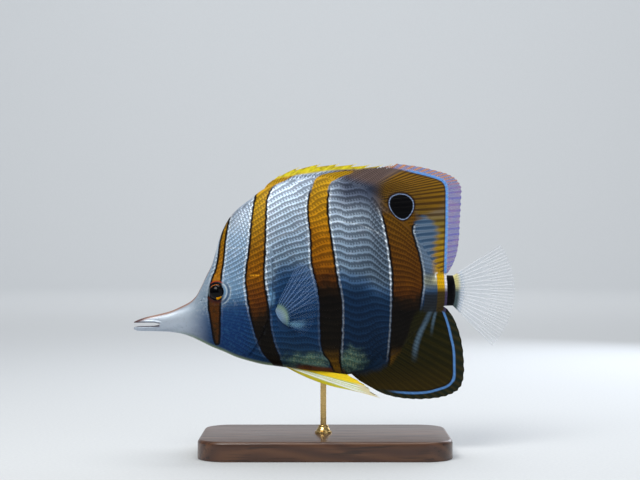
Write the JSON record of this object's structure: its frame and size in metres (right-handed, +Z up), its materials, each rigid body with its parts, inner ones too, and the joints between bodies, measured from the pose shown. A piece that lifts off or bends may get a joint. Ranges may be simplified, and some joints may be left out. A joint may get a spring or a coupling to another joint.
{
  "type": "copperband butterflyfish",
  "caption": "Life-size model of a copperband butterflyfish: tall flat body, long thin snout, upright bands and an eye spot on the back fin, held level above a wooden base by a rod.",
  "frame": {"origin": "on the floor, below the middle of the fish's length, in the middle of the base", "axes": "+Z up, -X the way the fish's head points, +Y the fish's right side; the viewer of the picture looks along +Y"},
  "size_m": [0.1604, 0.06, 0.1213],
  "materials": {
    "skin": "silvery white with upright orange-brown bands, satin",
    "yellow_fin": "yellow and white fin, satin",
    "banded_fin": "orange-brown fin with a pale blue line near its rim, satin",
    "clear_fin": "pale bluish fin, nearly clear",
    "eye": "black pupil in a golden iris, glossy",
    "base_wood": "dark, satin",
    "stand_metal": "satin"
  },
  "bodies": {
    "root": {"upper_jaw": "skin", "lower_jaw": "skin", "snout": "skin", "head": "skin", "trunk": "skin", "tail_stalk": "skin", "eye_left": "eye", "eye_right": "eye", "dorsal_fin_spines": "yellow_fin", "dorsal_fin_soft": "banded_fin", "anal_fin": "banded_fin", "tail_fin": "clear_fin", "pectoral_fin_left": "clear_fin", "pectoral_fin_right": "clear_fin", "pelvic_fin_left": "yellow_fin", "pelvic_fin_right": "yellow_fin", "stand_base": "base_wood", "stand_rod": "stand_metal", "stand_collar": "stand_metal"}
  },
  "joints": []
}
